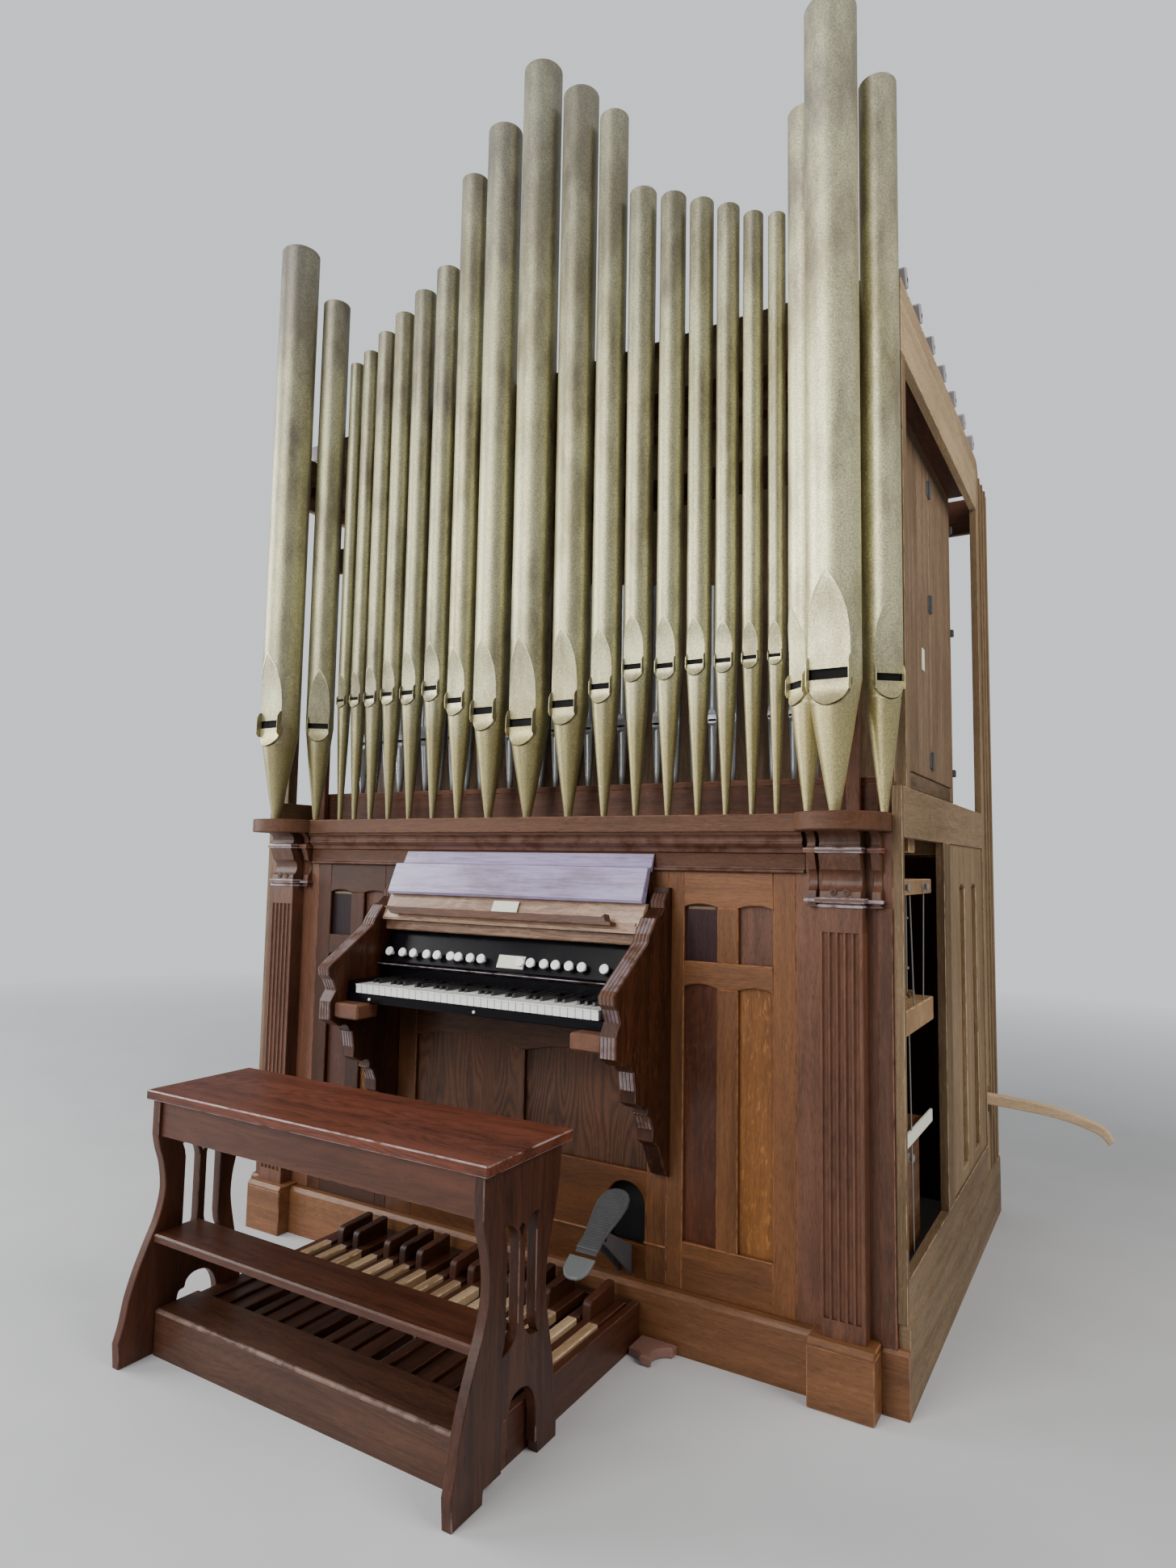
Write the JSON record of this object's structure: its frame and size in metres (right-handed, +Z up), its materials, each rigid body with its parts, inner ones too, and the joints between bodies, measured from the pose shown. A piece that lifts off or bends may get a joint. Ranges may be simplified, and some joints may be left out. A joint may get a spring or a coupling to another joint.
{
  "type": "pipe organ",
  "caption": "Free-standing church pipe organ: panelled oak case with show pipes on a ledge, a swell box, a key desk, a pedalboard and a bench.",
  "frame": {"origin": "on the floor, at the middle of the case's front face", "axes": "+Z up, +X to the right as the player faces the keys, +Y from the player into the case"},
  "size_m": [2.6566, 2.41, 3.85],
  "materials": {
    "oak": "dark stained and varnished",
    "light_oak": "orange-brown varnish",
    "faded_oak": "faded, dull",
    "pine": "bare",
    "maple": "worn, satin",
    "dark_wood": "worn, satin",
    "black_wood": "black lacquer",
    "lid_wood": "glossy varnish",
    "mahogany": "red-brown varnish",
    "ivory": "polished",
    "ebony": "satin black",
    "bronze_pipe": "dull bronze paint",
    "zinc": "dull grey metal",
    "wire": "bare wire",
    "shoe_iron": "worn grey metal"
  },
  "bodies": {
    "case": {"front_plinth": "oak", "side_plinths": "faded_oak", "back_plinth": "oak", "side_frame_left": "faded_oak", "side_frame_right": "faded_oak", "side_panels": "faded_oak", "back_frame": "oak", "back_panels": "oak", "front_bays": "light_oak", "knee_frame": "light_oak", "front_panels": "light_oak", "pilasters": "oak", "capitals": "oak", "frieze": "oak", "impost_ledge": "oak", "wind_chest": "light_oak", "chest_beams": "pine", "swell_box_walls": "faded_oak", "swell_box_doors": "faded_oak", "swell_box_roof": "oak", "roof_shades": "faded_oak", "rank_pipes": "zinc", "tower_pipes_left": "bronze_pipe", "tower_pipes_right": "bronze_pipe", "flat_pipes_left": "bronze_pipe", "flat_pipes_right": "bronze_pipe", "centre_pipes": "bronze_pipe", "pipe_rack": "oak", "action_rails": "pine", "tracker_wires": "wire", "key_cheeks": "oak", "key_bed": "oak", "natural_keys": "ivory", "sharp_keys": "ebony", "stop_jamb": "black_wood", "stop_knobs": "ivory", "music_desk": "light_oak", "key_lid": "lid_wood", "heel_box": "oak", "pedal_frame": "oak", "pedal_naturals": "maple", "pedal_sharps": "dark_wood", "bracket_foot": "mahogany", "shoe_bracket": "shoe_iron", "bench_seat": "mahogany", "bench_ends": "mahogany", "bench_apron": "mahogany", "bench_shelf": "mahogany", "pump_bracket": "oak"},
    "shoe": {"swell_shoe": "shoe_iron"},
    "lever": {"pump_lever": "light_oak"}
  },
  "joints": [
    {"name": "shoe_rock", "type": "hinge", "parent": "case", "child": "shoe", "pos_m": [0.376, -0.145, 0.292], "axis": [1, 0, 0], "range_deg": [-25, 10]},
    {"name": "lever_stroke", "type": "hinge", "parent": "case", "child": "lever", "pos_m": [1.029, 1.32, 0.462], "axis": [0, 1, 0], "range_deg": [-12, 12]}
  ]
}
